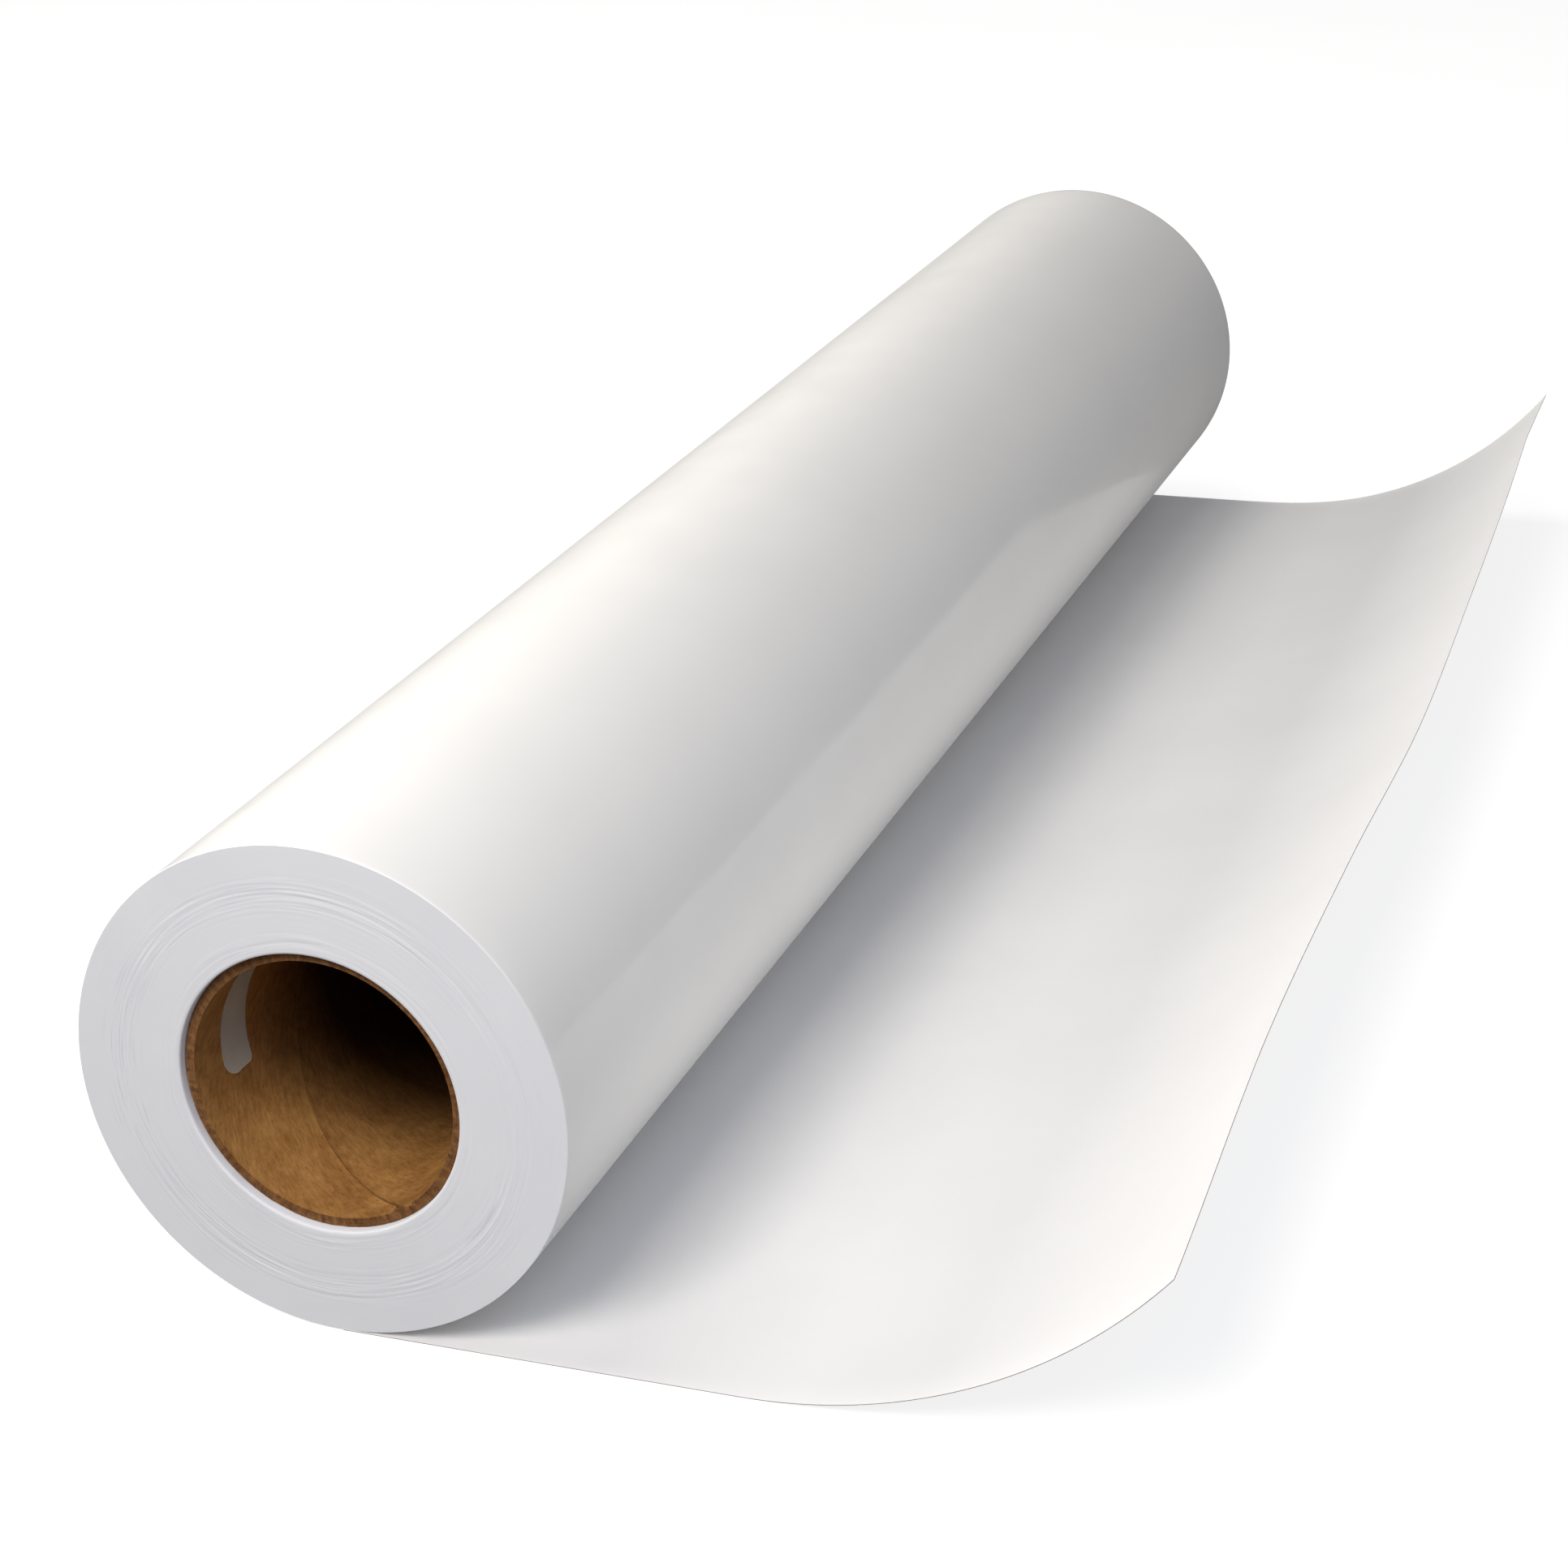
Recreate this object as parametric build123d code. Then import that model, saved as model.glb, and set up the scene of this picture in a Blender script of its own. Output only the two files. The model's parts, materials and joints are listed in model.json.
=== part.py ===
"""Roll of white backdrop paper on a cardboard core, lying on a flat surface with its free end laid out.

Millimetres, +Z up. The roll's axis is Y and the origin is the centre of the core's bore, half way along it.
The paper leaves the bottom of the roll towards +X, lies flat, and curls up at its cut end.
"""

import os
from math import cos, degrees, sin, sqrt

from build123d import *

# Paper
paper_width = 762.0         # 30 inch web
roll_radius = 72.0          # outside of the last wrap
paper_thickness = 0.2       # heavy uncoated paper
loose_length = 243.0        # paper off the roll, from its lowest line to the cut end
curl_start = 104.0          # flat length before the curl begins
curl_radius = 158.0         # curl set of the cut end, at the paper's lower face

# Core: a spirally wound paperboard tube for a 3 inch bar
bore_radius = 38.1
ply_thickness = 0.5
ply_count = 5
glue_line = 0.03            # between one ply and the next
core_recess = 2.7           # core end below the paper's end

# Short pieces of tape that hold the start of the first wrap on the core
tape_count = 3
tape_thickness = 0.1
tape_width = 19.0           # round the core
tape_length = 60.0          # along the core
tape_end_margin = 12.0      # bare core left outside the first and last piece
tape_angle = 70.0           # where round the core, from +X towards +Z

# Blank label stuck inside the bore
label_thickness = 0.1
label_length = 42.0         # round the bore
label_width = 14.0          # along the bore
label_corner = 5.0
label_depth = 21.0          # from the core's end to the label's middle
label_angle = 163.0         # where round the bore, from +X towards +Z

# How the sheet is divided where it bends and travels
nip_clearance = 0.3         # between the turning roll and the paper just off it
nip_length = 17.0           # paper that travels with the roll
foot_length = 12.0          # paper that stays put while the roll travels and the end lifts
lifting_flat = 4.0          # flat paper between the foot and the curl, which lifts with the curl

core_length = paper_width - 2 * core_recess
core_outer_radius = bore_radius + ply_count * ply_thickness + (ply_count - 1) * glue_line
winding_radius = core_outer_radius + glue_line + tape_thickness + glue_line
sheet_bottom = -roll_radius
sheet_top = sheet_bottom + paper_thickness
nip_start = sqrt((roll_radius + nip_clearance) ** 2 - sheet_top ** 2)
nip_end = nip_start + nip_length
foot_end = curl_start - lifting_flat
run_end = foot_end - foot_length


def tube(inner_radius, outer_radius, length):
    """A tube about the Y axis, centred on the origin."""
    ring = Plane.XZ * (Circle(outer_radius) - Circle(inner_radius))
    return extrude(ring, amount=length / 2, both=True)


def strip(start, end):
    """A flat stretch of the laid sheet, across its whole width, from x = start to x = end."""
    length = end - start
    middle = Pos((start + end) / 2, 0, sheet_bottom + paper_thickness / 2)
    return middle * Box(length, paper_width, paper_thickness)


def core_plies():
    """The core's plies from the bore outwards, each a tube glued on the one inside it."""
    plies = []
    inner_radius = bore_radius
    for _ in range(ply_count):
        plies.append(tube(inner_radius, inner_radius + ply_thickness, core_length))
        inner_radius += ply_thickness + glue_line
    return plies


def tape_piece():
    """One piece of double-sided tape, half way along the core."""
    inner_radius = core_outer_radius + glue_line
    span = degrees(tape_width / inner_radius)
    start_angle = tape_angle - span / 2
    inner_arc = CenterArc((0, 0), inner_radius, start_angle, span)
    outer_arc = CenterArc((0, 0), inner_radius + tape_thickness, start_angle, span)
    first_side = Line(inner_arc @ 0, outer_arc @ 0)
    last_side = Line(inner_arc @ 1, outer_arc @ 1)
    section = Plane.XZ * make_face([inner_arc, outer_arc, first_side, last_side])
    return extrude(section, amount=tape_length / 2, both=True)


def tape_places():
    """Where the middle of each piece of tape lies along Y, evenly spaced along the core."""
    reach = (core_length - tape_length) / 2 - tape_end_margin
    step = 2 * reach / (tape_count - 1)
    return [index * step - reach for index in range(tape_count)]


def core_label():
    """A blank label with rounded corners that follows the bore's wall near the -Y end."""
    chord = 2 * bore_radius * sin(label_length / bore_radius / 2)
    outline = Plane.YZ * RectangleRounded(label_width, chord, label_corner)
    stamp = extrude(outline, amount=bore_radius + ply_thickness)
    skin = tube(bore_radius - label_thickness, bore_radius, label_width + label_corner)
    label = skin & stamp
    return Pos(0, label_depth - core_length / 2, 0) * Rot(0, -label_angle, 0) * label


def wound_paper():
    """All the wraps on the core as one tube."""
    return tube(winding_radius, roll_radius, paper_width)


def sheet_curl():
    """The cut end: a short flat stretch, then the arc of the curl."""
    curl_angle = (loose_length - curl_start) / curl_radius
    centre_height = sheet_bottom + curl_radius
    upper_radius = curl_radius - paper_thickness
    tip_sine = sin(curl_angle)
    tip_cosine = cos(curl_angle)
    foot_bottom = (foot_end, sheet_bottom)
    foot_top = (foot_end, sheet_top)
    bend_bottom = (curl_start, sheet_bottom)
    bend_top = (curl_start, sheet_top)
    tip_bottom = (curl_start + curl_radius * tip_sine, centre_height - curl_radius * tip_cosine)
    tip_top = (curl_start + upper_radius * tip_sine, centre_height - upper_radius * tip_cosine)
    profile = [
        Line(foot_bottom, bend_bottom),
        TangentArc(bend_bottom, tip_bottom, tangent=(1, 0)),
        Line(tip_bottom, tip_top),
        TangentArc(bend_top, tip_top, tangent=(1, 0)),
        Line(bend_top, foot_top),
        Line(foot_top, foot_bottom),
    ]
    section = Plane.XZ * make_face(profile)
    return extrude(section, amount=paper_width / 2, both=True)


def ply_name(number):
    """The liner is the ply that the bore shows, and the outer ply carries the paper."""
    if number == 1:
        return "core_liner_ply"
    if number == ply_count:
        return "core_outer_ply"
    return f"core_ply_{number}"


parts = {
    "wound_paper": wound_paper(),
    "core_label": core_label(),
    "sheet_nip": strip(nip_start, nip_end),
    "sheet_run": strip(nip_end, run_end),
    "sheet_foot": strip(run_end, foot_end),
    "sheet_curl": sheet_curl(),
}
for number, ply in enumerate(core_plies(), start=1):
    parts[ply_name(number)] = ply
for number, place in enumerate(tape_places(), start=1):
    parts[f"start_tape_{number}"] = Pos(0, place, 0) * tape_piece()

os.makedirs("parts", exist_ok=True)
for name, solid in parts.items():
    export_step(solid, f"parts/{name}.step")
    print(f"{name}: {solid.volume:.0f} mm3")
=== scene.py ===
"""Looks of a roll of white backdrop paper: wraps, spiral core, blank label and loose curled end.

Metres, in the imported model's frame: +Y along the roll, +X the way the loose paper lies, +Z up.
"""

import json
import math

import bpy
import numpy as np
from mathutils import Euler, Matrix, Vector, noise


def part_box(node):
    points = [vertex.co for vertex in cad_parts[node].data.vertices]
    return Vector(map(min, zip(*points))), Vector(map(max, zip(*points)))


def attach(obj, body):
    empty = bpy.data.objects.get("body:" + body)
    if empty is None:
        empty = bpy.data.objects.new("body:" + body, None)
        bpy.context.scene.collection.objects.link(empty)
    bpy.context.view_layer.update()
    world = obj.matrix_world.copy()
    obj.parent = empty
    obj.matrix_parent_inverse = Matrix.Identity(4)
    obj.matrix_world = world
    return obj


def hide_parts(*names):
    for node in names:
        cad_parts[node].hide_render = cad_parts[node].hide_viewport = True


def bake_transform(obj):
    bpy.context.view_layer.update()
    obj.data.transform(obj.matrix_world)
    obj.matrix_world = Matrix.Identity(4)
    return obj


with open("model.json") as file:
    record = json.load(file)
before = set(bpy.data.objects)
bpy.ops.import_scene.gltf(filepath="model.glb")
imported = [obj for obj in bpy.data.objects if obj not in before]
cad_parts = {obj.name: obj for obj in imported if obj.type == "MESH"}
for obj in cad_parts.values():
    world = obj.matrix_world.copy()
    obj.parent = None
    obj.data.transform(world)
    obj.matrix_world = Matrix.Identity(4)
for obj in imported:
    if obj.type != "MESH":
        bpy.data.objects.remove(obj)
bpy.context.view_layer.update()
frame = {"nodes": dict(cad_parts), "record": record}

MM = 0.001

# Sizes that the frame gives
RECORD = frame["record"]
ROLL_RADIUS = RECORD["behaviour"]["couplings"][0]["ratio"]
BORE_RADIUS = RECORD["mounts"][0]["dims"]["r_mm"] * MM
WEB_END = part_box("wound_paper")[1].y
CORE_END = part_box("core_liner_ply")[1].y
CORE_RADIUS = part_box("core_outer_ply")[1].x
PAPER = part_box("sheet_foot")[1].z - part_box("sheet_foot")[0].z
FLOOR = -ROLL_RADIUS
FOOT_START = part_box("sheet_foot")[0].x
FOOT_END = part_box("sheet_foot")[1].x
PLIES = ["core_ply_2", "core_ply_3", "core_ply_4", "core_outer_ply"]
PLY_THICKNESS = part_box("core_liner_ply")[1].x - BORE_RADIUS

# The loose sheet. A pair holds the value at the -Y edge and at the +Y edge, and CURVATURE, in 1/m,
# holds the curl's values at even steps between them. The sheet is divided at SEAM, on the foot.
LOOSE_LENGTH = (247.3 * MM, 228.9 * MM)
FLAT_LENGTH = (111.5 * MM, 64.9 * MM)
CURL_RAMP = (8.5 * MM, 65 * MM)
CURL_EASE = (-0.132, -0.041)
CURL_EASE_LENGTH = 130 * MM
CURVATURE = (7.15, 7.46, 7.04, 6.30, 6.34, 6.53, 6.90)
CORNER_LENGTH = 4.8 * MM
CORNER_WIDTH = 50 * MM
SEAM = (FOOT_START + FOOT_END) / 2
LINE_POINTS = 600
SHEET_WIDTH_STEPS = 128
LAID_STEPS = 48
CURLED_STEPS = 72

# The wraps. TAPE_ROOM lies between the core and the first wrap. WRAP_FACE is where a drawn wrap's
# edge begins and ends, in shares of its width. INNER_EDGE rounds the innermost wraps, as
# (distance out, depth) in mm. OUTER_EDGE rounds the last one, as (distance in, depth) in mm, and
# EDGE_ROUNDING is how far along the roll that rounding reaches.
WRAP_STEPS = 240
RING_COUNT = 78
LENGTH_STEPS = 84
BORE_STEPS = 12
TAPE_ROOM = 0.15 * MM
WRAP_FACE = (0.08, 0.92)
INNER_EDGE = ((0, 1.4), (0.04, 0.7), (0.16, 0.3), (0.38, 0.1))
OUTER_EDGE = ((0.10, 0), (0.02, 0.10))
EDGE_ROUNDING = 1.2 * MM

# Two bands of wraps that have slipped along the roll, as (middle, half width) in shares of its
# radius, and how far the edges of the wraps lie under the roll's flat end, in mm
INNER_BAND = (0.615, 0.042)
OUTER_BAND = (0.81, 0.055)
INNER_BAND_SLIP = 0.55
MEAN_EDGE_DEPTH = 0.14
FIRM_WANDER = 0.008
SLIPPED_WANDER = 0.10

# Unevenness, as (size, fineness round the roll, start, strength). The size lies along the radius
# on the ends and along the roll on the outside, where the strength is in mm.
END_NOISE = ((0.85 * MM, 2.6, 0, 1.0), (0.4 * MM, 4.4, 5, 0.6))
OUTSIDE_NOISE = ((150 * MM, 1.3, 0, 0.06), (420 * MM, 3.1, 7, 0.05))

# The core's plies: their ragged ends, the tilt of their fibres in degrees, and how deep, in
# metres, the painted shade that darkens the board inside the bore begins and is full
PLY_STEPS = 240
RAGGED_DEPTH = 0.12 * MM
PLY_STAGGER = 0.05 * MM
FIBRE_TILT = 36
DEEP_SHADE_DEPTHS = (0.026, 0.072)

# The spiral of the core's liner. Its seam is LINER_SEAM_DEPTH under the roll's end at
# LINER_SEAM_TURN, in turns from +X downwards. LINER_MARGINS places the points from a seam
# inwards, in mm.
LINER_PITCH = 176 * MM
LINER_SEAM_GAP = 0.7 * MM
LINER_SEAM_DEPTH = 19 * MM
LINER_SEAM_TURN = 0.25
LINER_SEAM_LIFT = 0.22 * MM
LINER_TURN_STEPS = 96
LINER_MARGINS = (0, 0.3, 0.7, 1.3, 2.2, 3.6, 6.0)
LINER_INSIDE_STEPS = 22

# The blank label: the depth of its two long edges, its middle round the bore, and how far its
# two faces stand off the bore's wall
LABEL_DEPTHS = (16.9 * MM, 30.4 * MM)
LABEL_LENGTH = 41.5 * MM
LABEL_ANGLE = math.radians(163)
LABEL_CORNERS = (5.5 * MM, 2.0 * MM)
LABEL_LIFT = 0.10 * MM
LABEL_FACES = (0.13 * MM, 0.03 * MM)
LABEL_ROWS = 65
LABEL_COLUMNS = 13

# Floor, world and lights. A light is (name, place, target, size, power, colour).
FLOOR_REACH = 40.0
FLOOR_GAP = 0.05 * MM
WORLD_COLOUR = (0.98, 0.97, 0.98, 1)
WORLD_STRENGTH = 0.25
NEAR_END = (0, -WEB_END, 0)
MIDDLE = (0, 0, 0)
LIGHTS = (
    ("front_softbox", (0, -1.28, 1.07), NEAR_END, 0.6, 15.0, (1.0, 0.96, 0.90)),
    ("left_softbox", (-1.73, 0, 1.0), MIDDLE, 1.2, 25.0, (1.0, 0.985, 0.95)),
    ("top_softbox", (-0.52, 0, 1.93), MIDDLE, 1.0, 9.5, (1.0, 0.98, 0.94)),
    ("left_low_softbox", (-1.97, 0, 0.35), MIDDLE, 0.9, 33.0, (1.0, 0.98, 0.95)),
    ("side_softbox", (0.74, -1.12, 0.94), NEAR_END, 0.9, 4.0, (0.55, 0.68, 1.0)),
)

# Camera
LENS = 73.78
CAMERA_PLACE = (0.3877, -1.0354, 0.3983)
CAMERA_TURN = (67.161, 2.493, 20.011)


# ---------------------------------------------------------------- meshes

def make_object(name, points, faces, sharp_degrees=35):
    """A mesh object with smooth faces and sharp creases."""
    mesh = bpy.data.meshes.new(name)
    mesh.from_pydata([tuple(p) for p in points], [], [tuple(f) for f in faces])
    mesh.validate()
    mesh.update()
    mesh.polygons.foreach_set("use_smooth", [True] * len(mesh.polygons))
    mesh.set_sharp_from_angle(angle=math.radians(sharp_degrees))
    made = bpy.data.objects.new(name, mesh)
    bpy.context.scene.collection.objects.link(made)
    return made


def quads(rows, columns, wrap_rows=False, wrap_columns=False, flip=False):
    """Faces of a grid of rows x columns points, numbered row by row."""
    row_steps = rows if wrap_rows else rows - 1
    column_steps = columns if wrap_columns else columns - 1
    faces = []
    for i in range(row_steps):
        for j in range(column_steps):
            a = i * columns + j
            b = i * columns + (j + 1) % columns
            c = ((i + 1) % rows) * columns + (j + 1) % columns
            d = ((i + 1) % rows) * columns + j
            faces.append((a, d, c, b) if flip else (a, b, c, d))
    return faces


def slab(top, bottom):
    """Points and faces of a closed thin slab between two grids of the same shape."""
    rows, columns = top.shape[:2]
    count = rows * columns
    points = np.concatenate([top.reshape(-1, 3), bottom.reshape(-1, 3)])
    faces = quads(rows, columns)
    faces += [tuple(count + i for i in f) for f in quads(rows, columns, flip=True)]
    rim = list(range(columns))
    rim += [i * columns + columns - 1 for i in range(1, rows)]
    rim += [(rows - 1) * columns + j for j in range(columns - 2, -1, -1)]
    rim += [i * columns for i in range(rows - 2, 0, -1)]
    for k, a in enumerate(rim):
        b = rim[(k + 1) % len(rim)]
        faces.append((b, a, count + a, count + b))
    return points, faces


# ---------------------------------------------------------------- materials

class Shader:
    """A short way to build a node material."""

    def __init__(self, name):
        self.material = bpy.data.materials.new(name)
        self.material.use_nodes = True
        self.nodes = self.material.node_tree.nodes
        self.links = self.material.node_tree.links
        self.surface = self.nodes["Principled BSDF"]

    def add(self, kind, **settings):
        node = self.nodes.new(kind)
        for key, value in settings.items():
            setattr(node, key, value)
        return node

    def link(self, source, target):
        self.links.new(source, target)

    def math(self, operation, first, second=0.0):
        node = self.add("ShaderNodeMath", operation=operation)
        for socket, value in zip(node.inputs, (first, second)):
            if isinstance(value, (int, float)):
                socket.default_value = value
            else:
                self.link(value, socket)
        return node.outputs[0]

    def place(self):
        """The point in the piece's own space, in metres."""
        return self.add("ShaderNodeTexCoord").outputs["Object"]

    def noise(self, vector, scale, detail=3.0, roughness=0.5, stretch=(1, 1, 1)):
        mapping = self.add("ShaderNodeMapping")
        mapping.inputs["Scale"].default_value = stretch
        self.link(vector, mapping.inputs["Vector"])
        node = self.add("ShaderNodeTexNoise")
        node.inputs["Scale"].default_value = scale
        node.inputs["Detail"].default_value = detail
        node.inputs["Roughness"].default_value = roughness
        self.link(mapping.outputs[0], node.inputs["Vector"])
        return node.outputs["Fac"]

    def ramp(self, value, low, high, first, last):
        """A colour that goes from first, where value is low, to last, where it is high."""
        node = self.add("ShaderNodeValToRGB")
        node.color_ramp.elements[0].position = low
        node.color_ramp.elements[1].position = high
        node.color_ramp.elements[0].color = (*first, 1)
        node.color_ramp.elements[1].color = (*last, 1)
        self.link(value, node.inputs["Fac"])
        return node.outputs["Color"]

    def spread(self, value, low, high, out_low, out_high):
        node = self.add("ShaderNodeMapRange")
        for index, number in enumerate((low, high, out_low, out_high), start=1):
            node.inputs[index].default_value = number
        self.link(value, node.inputs[0])
        return node.outputs[0]

    def mix(self, share, first, last, blend="MIX"):
        node = self.add("ShaderNodeMix", data_type="RGBA", blend_type=blend)
        for socket, value in ((0, share), (6, first), (7, last)):
            if isinstance(value, (int, float, tuple)):
                node.inputs[socket].default_value = value
            else:
                self.link(value, node.inputs[socket])
        return node.outputs[2]

    def bump(self, height, distance, strength):
        node = self.add("ShaderNodeBump")
        node.inputs["Distance"].default_value = distance
        node.inputs["Strength"].default_value = strength
        self.link(height, node.inputs["Height"])
        return node.outputs["Normal"]

    def set(self, **sockets):
        for name, value in sockets.items():
            socket = self.surface.inputs[name.replace("_", " ")]
            if isinstance(value, (int, float, tuple)):
                socket.default_value = value
            else:
                self.link(value, socket)

    def around(self, radius):
        """The point unrolled from a cylinder about Y: (arc length, y, distance from the axis)."""
        split = self.add("ShaderNodeSeparateXYZ")
        self.link(self.place(), split.inputs[0])
        x, y, z = split.outputs
        arc = self.math("MULTIPLY", self.math("ARCTAN2", z, x), radius)
        squares = self.math("ADD", self.math("MULTIPLY", x, x), self.math("MULTIPLY", z, z))
        distance = self.math("SQRT", squares)
        joined = self.add("ShaderNodeCombineXYZ")
        for source, target in zip((arc, y, distance), joined.inputs):
            self.link(source, target)
        return joined.outputs[0], distance


def satin_paper():
    """The coated outside of the paper: a satin skin over faint fibre clouds."""
    s = Shader("paper_satin_outside")
    clouds = s.noise(s.place(), 14, 4)
    fibres = s.noise(s.place(), 900, 3, 0.6)
    skin = s.noise(s.place(), 60, 2)
    s.set(
        Base_Color=s.ramp(clouds, 0.3, 0.7, (0.87, 0.858, 0.828), (0.90, 0.888, 0.858)),
        Roughness=s.spread(skin, 0.3, 0.7, 0.38, 0.46),
        Coat_Weight=0.8,
        Coat_Roughness=0.13,
        Coat_IOR=1.45,
        Normal=s.bump(fibres, 0.02 * MM, 0.5),
    )
    return s.material


def matte_paper():
    """The uncoated inside of the paper, with its fibre cloud and fine tooth."""
    s = Shader("paper_matte_inside")
    clouds = s.noise(s.place(), 18, 5)
    fibres = s.noise(s.place(), 1400, 4, 0.65)
    s.set(
        Base_Color=s.ramp(clouds, 0.3, 0.7, (0.835, 0.830, 0.822), (0.862, 0.857, 0.849)),
        Roughness=s.spread(fibres, 0.3, 0.7, 0.62, 0.78),
        Normal=s.bump(fibres, 0.04 * MM, 0.6),
    )
    return s.material


def paper_edge():
    """The ends of the wraps: cut paper edges, with fine broken lines where wraps have slipped."""
    s = Shader("paper_cut_edges")
    spot, distance = s.around(ROLL_RADIUS)
    lines = s.noise(spot, 1000, 3, 0.6, (0.035, 0, 2.4))
    patches = s.noise(s.place(), 22, 2)
    bands = s.add("ShaderNodeFloatCurve")
    curve = bands.mapping.curves[0]
    curve.points[1].location = (1, 0.08)
    line_strengths = ((0.56, 0.6), (0.62, 0.5), (0.68, 0.08), (0.74, 0.5), (0.81, 1.0), (0.88, 0.4))
    for radius, strength in line_strengths:
        curve.points.new(radius, strength)
    bands.mapping.update()
    s.link(s.math("MULTIPLY", distance, 1 / ROLL_RADIUS), bands.inputs["Value"])
    strength = s.math("MULTIPLY", bands.outputs[0], s.spread(patches, 0.35, 0.65, 0.1, 1.0))
    line = s.spread(lines, 0.36, 0.46, 1.0, 0.0)
    clouds = s.noise(s.place(), 30, 4)
    base = s.ramp(clouds, 0.3, 0.7, (0.815, 0.82, 0.845), (0.84, 0.845, 0.868))
    s.set(
        Base_Color=s.mix(s.math("MULTIPLY", strength, line), base, (0.70, 0.70, 0.74, 1)),
        Roughness=s.spread(clouds, 0.3, 0.7, 0.7, 0.85),
        Normal=s.bump(s.math("MULTIPLY", lines, strength), 0.10 * MM, 0.6),
    )
    return s.material


def sheet_rim():
    """The cut rim of the single sheet, which shows as a thin darker line."""
    s = Shader("paper_sheet_rim")
    fibres = s.noise(s.place(), 700, 3)
    s.set(
        Base_Color=s.ramp(fibres, 0.3, 0.7, (0.24, 0.165, 0.16), (0.36, 0.27, 0.26)),
        Roughness=0.85,
        Normal=s.bump(fibres, 0.05 * MM, 0.5),
    )
    return s.material


def kraft(name, radius, dark, light):
    """Kraft board whose fibres run along the spiral of the ply, with painted shade that darkens it
    deeper inside the bore.
    """
    s = Shader(name)
    spot, _ = s.around(radius)
    turned = s.add("ShaderNodeMapping")
    turned.inputs["Rotation"].default_value = (0, 0, math.radians(FIBRE_TILT))
    s.link(spot, turned.inputs["Vector"])
    fibres = s.noise(turned.outputs[0], 330, 6, 0.68, (1, 3.2, 1))
    flecks = s.noise(turned.outputs[0], 420, 3, 0.7, (1, 2.4, 1))
    clouds = s.noise(s.place(), 95, 6, 0.68)
    base = s.ramp(fibres, 0.33, 0.68, dark, light)
    stain = s.ramp(clouds, 0.34, 0.66, (0.70, 0.64, 0.58), (1.0, 1.0, 1.0))
    speck = s.ramp(flecks, 0.27, 0.36, (0.45, 0.38, 0.32), (1.0, 1.0, 1.0))
    # Painted shade: the board is darkened deeper inside the bore, where little light reaches.
    split = s.add("ShaderNodeSeparateXYZ")
    s.link(s.place(), split.inputs[0])
    inwards = s.math("SUBTRACT", CORE_END, s.math("ABSOLUTE", split.outputs["Y"]))
    depth = s.spread(inwards, *DEEP_SHADE_DEPTHS, 0, 1)
    painted_deep_shade = s.ramp(depth, 0.0, 1.0, (1.0, 1.0, 1.0), (0.12, 0.10, 0.09))
    colour = s.mix(1.0, s.mix(1.0, base, painted_deep_shade, "MULTIPLY"), stain, "MULTIPLY")
    s.set(
        Base_Color=s.mix(1.0, colour, speck, "MULTIPLY"),
        Roughness=s.spread(fibres, 0.3, 0.7, 0.75, 0.9),
        Specular_IOR_Level=0.1,
        Normal=s.bump(fibres, 0.10 * MM, 0.6),
    )
    return s.material


def label_paper():
    """A smooth blank sticker, yellowed a little."""
    s = Shader("label_paper")
    clouds = s.noise(s.place(), 90, 4)
    s.set(
        Base_Color=s.ramp(clouds, 0.3, 0.7, (0.52, 0.47, 0.38), (0.60, 0.55, 0.45)),
        Roughness=s.spread(clouds, 0.3, 0.7, 0.4, 0.52),
        Normal=s.bump(clouds, 0.05 * MM, 0.5),
    )
    return s.material


def adhesive_tape():
    """Double-sided tape, a cloudy film with small trapped bubbles."""
    s = Shader("adhesive_tape")
    bubbles = s.noise(s.place(), 600, 2)
    s.set(
        Base_Color=s.ramp(bubbles, 0.35, 0.65, (0.62, 0.58, 0.46), (0.74, 0.70, 0.58)),
        Roughness=s.spread(bubbles, 0.3, 0.7, 0.25, 0.4),
        Normal=s.bump(bubbles, 0.03 * MM, 0.6),
    )
    return s.material


def floor_surface():
    """A plain pale studio surface."""
    s = Shader("studio_floor")
    clouds = s.noise(s.place(), 3, 2)
    s.set(
        Base_Color=s.ramp(clouds, 0.2, 0.8, (0.30, 0.30, 0.30), (0.32, 0.32, 0.32)),
        Roughness=0.9,
        Specular_IOR_Level=0.1,
        Emission_Color=(1.0, 1.0, 1.0, 1),
        Emission_Strength=0.8,
    )
    return s.material


# ---------------------------------------------------------------- the wound roll

def turn_share(angle):
    """How much of the last wrap, counted from where it leaves the roll, lies behind this angle."""
    return (math.radians(270) - angle) / math.tau


def slipped(radius):
    """How strongly the wraps at this radius have slipped along the roll."""
    place = radius / ROLL_RADIUS
    bands = (INNER_BAND, OUTER_BAND)
    inner, outer = (math.exp(-(((place - middle) / width) ** 2)) for middle, width in bands)
    return INNER_BAND_SLIP * inner + outer


def edge_offset(radius, angle):
    """How far a wrap's edge lies under the roll's flat end."""
    x, z = math.cos(angle), math.sin(angle)
    wander = 0.0
    for size, fineness, start, strength in END_NOISE:
        spot = Vector((radius / size, x * fineness, z * fineness + start))
        wander += strength * noise.noise(spot)
    reach = FIRM_WANDER + SLIPPED_WANDER * slipped(radius)
    return MM * (MEAN_EDGE_DEPTH + reach * wander)


def surface_swell(angle, y):
    """The slight unevenness of the outside of the roll, in metres."""
    x, z = math.cos(angle), math.sin(angle)
    swell = 0.0
    for size, fineness, start, strength in OUTSIDE_NOISE:
        spot = Vector((x * fineness, y / size, z * fineness + start))
        swell += strength * noise.noise(spot)
    return MM * swell


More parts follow.
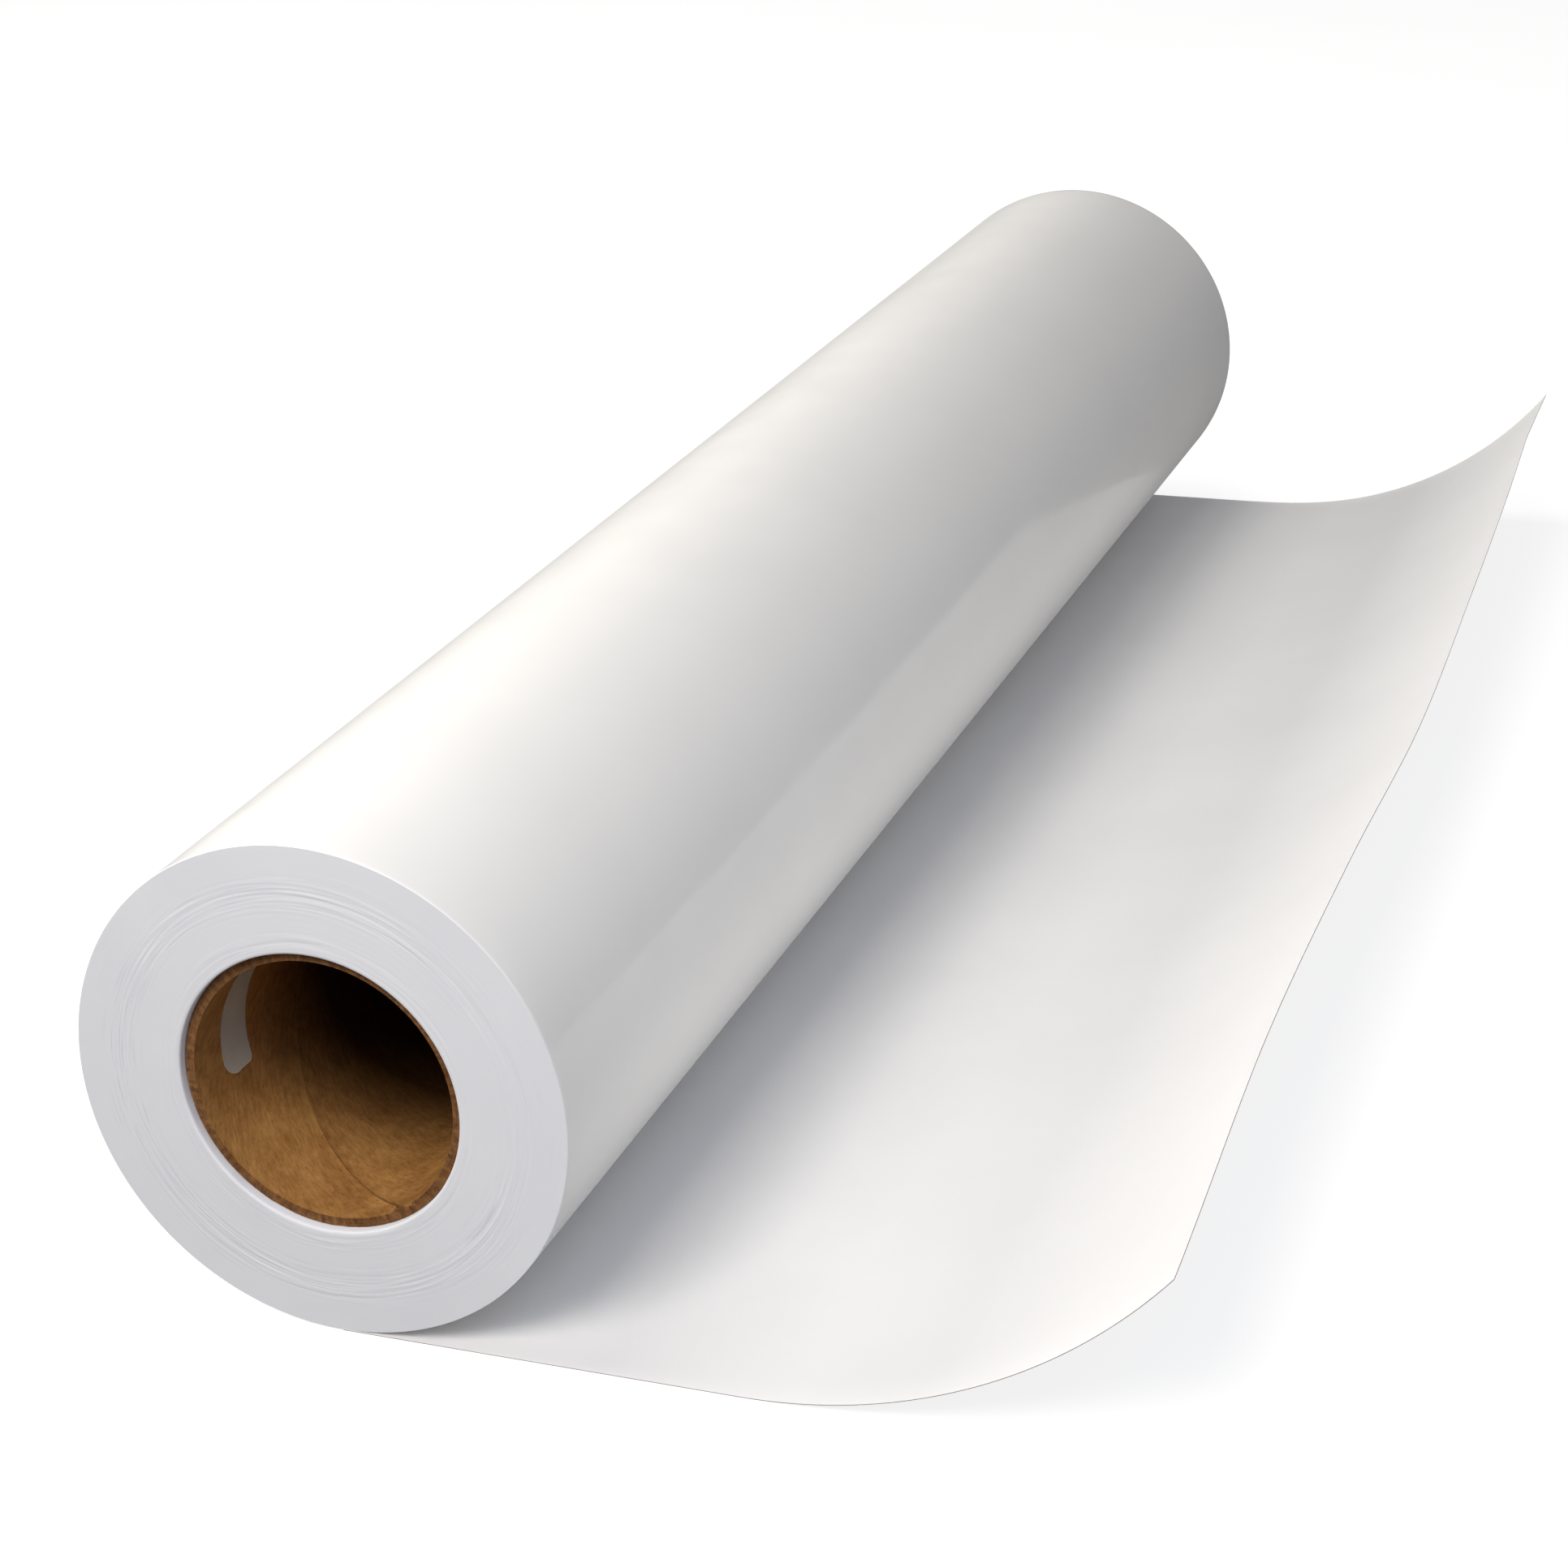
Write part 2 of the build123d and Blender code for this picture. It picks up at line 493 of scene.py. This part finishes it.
def roll_profile():
    """Rings as (radius, y, +1 or -1 where the ring is on an end and else 0).
    They run from the -Y end, over the outside, to the +Y end and back through the bore."""
    inner = CORE_RADIUS + TAPE_ROOM + PAPER
    pitch = (ROLL_RADIUS - inner) / RING_COUNT
    end = [(inner + out * MM, depth * MM) for out, depth in INNER_EDGE]
    for index in range(2, RING_COUNT):
        start = inner + index * pitch
        end += [(start + share * pitch, 0) for share in WRAP_FACE]
    end[-1:] = [(ROLL_RADIUS - inwards * MM, depth * MM) for inwards, depth in OUTER_EDGE]
    profile = [(radius, -WEB_END + depth, -1) for radius, depth in end]
    reach = WEB_END - EDGE_ROUNDING
    for index in range(LENGTH_STEPS + 1):
        profile.append((ROLL_RADIUS, reach * (2 * index / LENGTH_STEPS - 1), 0))
    profile += [(radius, WEB_END - depth, 1) for radius, depth in reversed(end)]
    for index in range(1, BORE_STEPS):
        profile.append((inner, WEB_END * (1 - 2 * index / BORE_STEPS), 0))
    return profile


def wound_roll():
    """All the wraps as one closed body, with a small step where the sheet leaves the last wrap."""
    angles = [math.radians(270 - 360 * i / WRAP_STEPS) for i in range(WRAP_STEPS + 1)]
    points = []
    for radius, y, end in roll_profile():
        for angle in angles:
            r = radius - PAPER * turn_share(angle)
            near_floor = max(0.0, -math.sin(angle))
            if radius == ROLL_RADIUS:
                r += surface_swell(angle, y) * (1 - near_floor)
            at = y - end * edge_offset(radius, angle)
            points.append((r * math.cos(angle), at, r * math.sin(angle)))
    rows = len(points) // len(angles)
    faces = quads(rows, len(angles), wrap_rows=True, wrap_columns=True)
    made = make_object("paper_wraps", points, faces, 40)
    made.data.materials.append(satin_paper())
    made.data.materials.append(paper_edge())
    for face in made.data.polygons:
        radius = math.hypot(face.center.x, face.center.z)
        if abs(face.normal.y) > 0.5 or radius < ROLL_RADIUS - 0.5 * MM:
            face.material_index = 1
    return made


# ---------------------------------------------------------------- the loose sheet

def between(pair, share):
    """The value at a share of the way from the first of a pair to the second."""
    return pair[0] + (pair[1] - pair[0]) * share


def curvature_at(share):
    """The curl's curvature at a share of the width: a smooth curve through CURVATURE."""
    spot = share * (len(CURVATURE) - 1)
    index = min(int(spot), len(CURVATURE) - 2)
    t = spot - index
    last = len(CURVATURE) - 1
    before, first, second, after = (CURVATURE[min(max(index + k, 0), last)] for k in (-1, 0, 1, 2))
    bend = 2 * first - 2 * second + (second - before) / 2 + (after - first) / 2
    rise = -3 * first + 3 * second - (second - before) - (after - first) / 2
    return ((bend * t + rise) * t + (second - before) / 2) * t + first


def sheet_line(y):
    """The sheet's lower face in the XZ plane at y: (length along it, x, z, slope)."""
    share = (y + WEB_END) / (2 * WEB_END)
    corner = max(0.0, 1 - (WEB_END - y) / CORNER_WIDTH) * CORNER_LENGTH
    length = np.linspace(0, between(LOOSE_LENGTH, share) + corner, LINE_POINTS)
    past = length - between(FLAT_LENGTH, share)
    ramp = np.clip(past / between(CURL_RAMP, share), 0, 1)
    ease = 1 + between(CURL_EASE, share) * np.clip(past / CURL_EASE_LENGTH, 0, 1.3)
    bend = curvature_at(share) * ramp * ramp * (3 - 2 * ramp) * ease
    step = np.diff(length)
    slope = np.concatenate([[0], np.cumsum((bend[1:] + bend[:-1]) / 2 * step)])
    x = np.concatenate([[0], np.cumsum(np.cos((slope[1:] + slope[:-1]) / 2) * step)])
    z = np.concatenate([[0], np.cumsum(np.sin((slope[1:] + slope[:-1]) / 2) * step)])
    return length, x, FLOOR + z, slope


def sheet_piece(name, first, last, steps, satin, matte, rim):
    """The sheet between two places along its length, as a closed slab of the paper's thickness.
    first and last give the length along the sheet at a y."""
    top = np.zeros((SHEET_WIDTH_STEPS + 1, steps + 1, 3))
    bottom = np.zeros_like(top)
    for row in range(SHEET_WIDTH_STEPS + 1):
        y = WEB_END * (2 * row / SHEET_WIDTH_STEPS - 1)
        length, x, z, slope = sheet_line(y)
        at = np.linspace(first(length, x), last(length, x), steps + 1)
        px, pz, ps = (np.interp(at, length, line) for line in (x, z, slope))
        upwards = np.stack([-np.sin(ps), np.zeros_like(ps), np.cos(ps)], axis=1)
        bottom[row] = np.stack([px, np.full_like(px, y), pz], axis=1)
        top[row] = bottom[row] + PAPER * upwards
    points, faces = slab(top, bottom)
    made = make_object(name, points, faces, 60)
    for material in (matte, satin, rim):
        made.data.materials.append(material)
    count = (SHEET_WIDTH_STEPS + 1) * (steps + 1)
    for face in made.data.polygons:
        upper = [v < count for v in face.vertices]
        if all(upper):
            face.material_index = 0
        elif any(upper):
            face.material_index = 2
        else:
            face.material_index = 1
    return made


def at_roll(length, x):
    """Where along the sheet it leaves the roll."""
    return 0.0


def at_seam(length, x):
    """Where along the sheet its two pieces meet."""
    return float(np.interp(SEAM, x, length))


def at_cut_end(length, x):
    """Where along the sheet it ends."""
    return length[-1]


def loose_sheet():
    """The sheet in two pieces that meet on the foot: one laid from the roll to the seam, one curled
    from the seam to the cut end.
    """
    materials = (bpy.data.materials["paper_satin_outside"], matte_paper(), sheet_rim())
    laid = sheet_piece("laid_paper", at_roll, at_seam, LAID_STEPS, *materials)
    curled = sheet_piece("curled_paper", at_seam, at_cut_end, CURLED_STEPS, *materials)
    return laid, curled


# ---------------------------------------------------------------- the core

def liner(board, cut_end_and_shade_board):
    """The liner ply as a strip wound in a spiral, with an open butt seam and raised edges."""
    first_seam = -WEB_END + LINER_SEAM_DEPTH - LINER_PITCH * LINER_SEAM_TURN
    lead = (-CORE_END - first_seam) / LINER_PITCH - 1
    last = (CORE_END - first_seam) / LINER_PITCH
    first_step = math.ceil(lead * LINER_TURN_STEPS) + 1
    last_step = math.floor(last * LINER_TURN_STEPS)
    turns = np.arange(first_step, last_step) / LINER_TURN_STEPS
    near = np.array(LINER_MARGINS) * MM
    inner = np.zeros((len(turns), 2 * len(near) + LINER_INSIDE_STEPS - 2, 3))
    outer = np.zeros_like(inner)
    for row, turn in enumerate(turns):
        start = first_seam + LINER_PITCH * turn + LINER_SEAM_GAP
        end = first_seam + LINER_PITCH * (turn + 1)
        low, high = max(-CORE_END, start), min(CORE_END, end)
        margin = near * min(1.0, (high - low) / (3 * near[-1]))
        inside = np.linspace(low + margin[-1], high - margin[-1], LINER_INSIDE_STEPS)[1:-1]
        y = np.concatenate([low + margin, inside, high - margin[::-1]])
        lift = LINER_SEAM_LIFT * (np.exp(-(y - start) / MM) + np.exp(-(end - y) / MM))
        angle = -math.tau * turn
        back = np.full_like(y, BORE_RADIUS + PLY_THICKNESS)
        for grid, radius in ((inner, BORE_RADIUS - lift), (outer, back)):
            grid[row] = np.stack([radius * math.cos(angle), y, radius * math.sin(angle)], axis=1)
    points, faces = slab(inner, outer)
    made = make_object("core_liner", points, faces, 40)
    made.data.materials.append(board)
    made.data.materials.append(cut_end_and_shade_board)
    # The liner's cut end takes the darker end board, which paints shade on the recessed rim of the
    # core.
    for face in made.data.polygons:
        on_end = abs(face.center.y) > CORE_END - 0.1 * MM
        face.material_index = int(on_end and abs(face.normal.y) > 0.7)
    return made


def body_ply(index, node):
    """A ply behind the liner: a closed tube whose cut ends are a little ragged."""
    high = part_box(node)[1].x
    inner, outer = high - PLY_THICKNESS, high
    rows = []
    for radius, side in ((inner, -1), (outer, -1), (outer, 1), (inner, 1)):
        ring = []
        for i in range(PLY_STEPS):
            angle = math.tau * i / PLY_STEPS
            spot = Vector((math.cos(angle) * 9, index * 3.7 + side, math.sin(angle) * 9))
            ragged = RAGGED_DEPTH * (noise.noise(spot) - 0.4) - PLY_STAGGER * (index % 2)
            y = side * (CORE_END + min(0.0, ragged))
            ring.append((radius * math.cos(angle), y, radius * math.sin(angle)))
        rows.append(ring)
    points = [p for ring in rows for p in ring]
    faces = quads(len(rows), PLY_STEPS, wrap_rows=True, wrap_columns=True)
    return make_object(node + "_board", points, faces, 40)


# ---------------------------------------------------------------- the label

def label():
    """A blank label on the bore's wall, its corners more rounded on the side of the open end."""
    half = LABEL_LENGTH / 2
    inner = np.zeros((LABEL_ROWS, LABEL_COLUMNS, 3))
    outer = np.zeros_like(inner)
    for i in range(LABEL_ROWS):
        along = half * math.sin(math.pi / 2 * (2 * i / (LABEL_ROWS - 1) - 1))
        edges = []
        for side, depth, corner in zip((1, -1), LABEL_DEPTHS, LABEL_CORNERS):
            past = min(1.0, max(0.0, abs(along) - (half - corner)) / corner)
            edges.append(depth + side * corner * (1 - math.sqrt(max(0.0, 1 - past * past))))
        for j in range(LABEL_COLUMNS):
            share = j / (LABEL_COLUMNS - 1)
            y = -WEB_END + edges[0] + (edges[1] - edges[0]) * share
            lift = LABEL_LIFT * (abs(2 * share - 1) ** 6 + abs(along / half) ** 20)
            angle = LABEL_ANGLE + along / BORE_RADIUS
            for grid, depth in zip((inner, outer), LABEL_FACES):
                r = BORE_RADIUS - (depth + lift)
                grid[i, j] = (r * math.cos(angle), y, r * math.sin(angle))
    points, faces = slab(inner, outer)
    return make_object("blank_label", points, faces, 50)


# ---------------------------------------------------------------- stage

def area_light(name, place, target, size, power, colour):
    """A square soft light, placed and turned towards its target."""
    data = bpy.data.lights.new(name, "AREA")
    data.shape = "RECTANGLE"
    data.size, data.size_y = size, size
    data.energy = power
    data.color = colour
    made = bpy.data.objects.new(name, data)
    made.location = place
    made.rotation_euler = (Vector(target) - Vector(place)).to_track_quat("-Z", "Y").to_euler()
    bpy.context.scene.collection.objects.link(made)


def stage():
    """Floor, lights, world and camera."""
    reach, height = FLOOR_REACH, FLOOR - FLOOR_GAP
    corners = [(-reach, -reach), (reach, -reach), (reach, reach), (-reach, reach)]
    floor = make_object("studio_floor", [(x, y, height) for x, y in corners], [(0, 1, 2, 3)])
    floor.data.materials.append(floor_surface())
    floor.visible_diffuse = False
    floor.visible_glossy = False
    for light in LIGHTS:
        area_light(*light)

    world = bpy.data.worlds.new("studio")
    world.use_nodes = True
    background = world.node_tree.nodes["Background"]
    background.inputs["Color"].default_value = WORLD_COLOUR
    background.inputs["Strength"].default_value = WORLD_STRENGTH
    bpy.context.scene.world = world
    bpy.context.scene.view_settings.view_transform = "Standard"

    data = bpy.data.cameras.new("camera")
    data.lens = LENS
    camera = bpy.data.objects.new("camera", data)
    camera.location = CAMERA_PLACE
    camera.rotation_euler = Euler([math.radians(a) for a in CAMERA_TURN])
    bpy.context.scene.collection.objects.link(camera)
    bpy.context.scene.camera = camera
    return floor


# ---------------------------------------------------------------- putting it together

floor = stage()

wraps = wound_roll()
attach(wraps, "roll")
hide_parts("wound_paper")

laid, curled = loose_sheet()
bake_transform(laid)
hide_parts("sheet_nip", "sheet_run", "sheet_foot")
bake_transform(curled)
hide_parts("sheet_curl")

board = kraft("kraft_board", BORE_RADIUS, (0.35, 0.165, 0.048), (0.56, 0.29, 0.09))
# Darker board for cut ends: the plies' own cut-end colour, and painted shade on the liner's
# recessed rim.
cut_end_and_shade_board = kraft("kraft_cut_end_and_shade", BORE_RADIUS, (0.12, 0.05, 0.02), (0.34, 0.17, 0.065))
bore = liner(board, cut_end_and_shade_board)
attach(bore, "roll")
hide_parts("core_liner_ply")
for number, node in enumerate(PLIES):
    ply = body_ply(number, node)
    ply.data.materials.append(cut_end_and_shade_board)
    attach(ply, "roll")
    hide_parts(node)

sticker = label()
sticker.data.materials.append(label_paper())
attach(sticker, "roll")
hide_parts("core_label")

tape = adhesive_tape()
for name, node in frame["nodes"].items():
    if name.startswith("start_tape"):
        node.data.materials.clear()
        node.data.materials.append(tape)
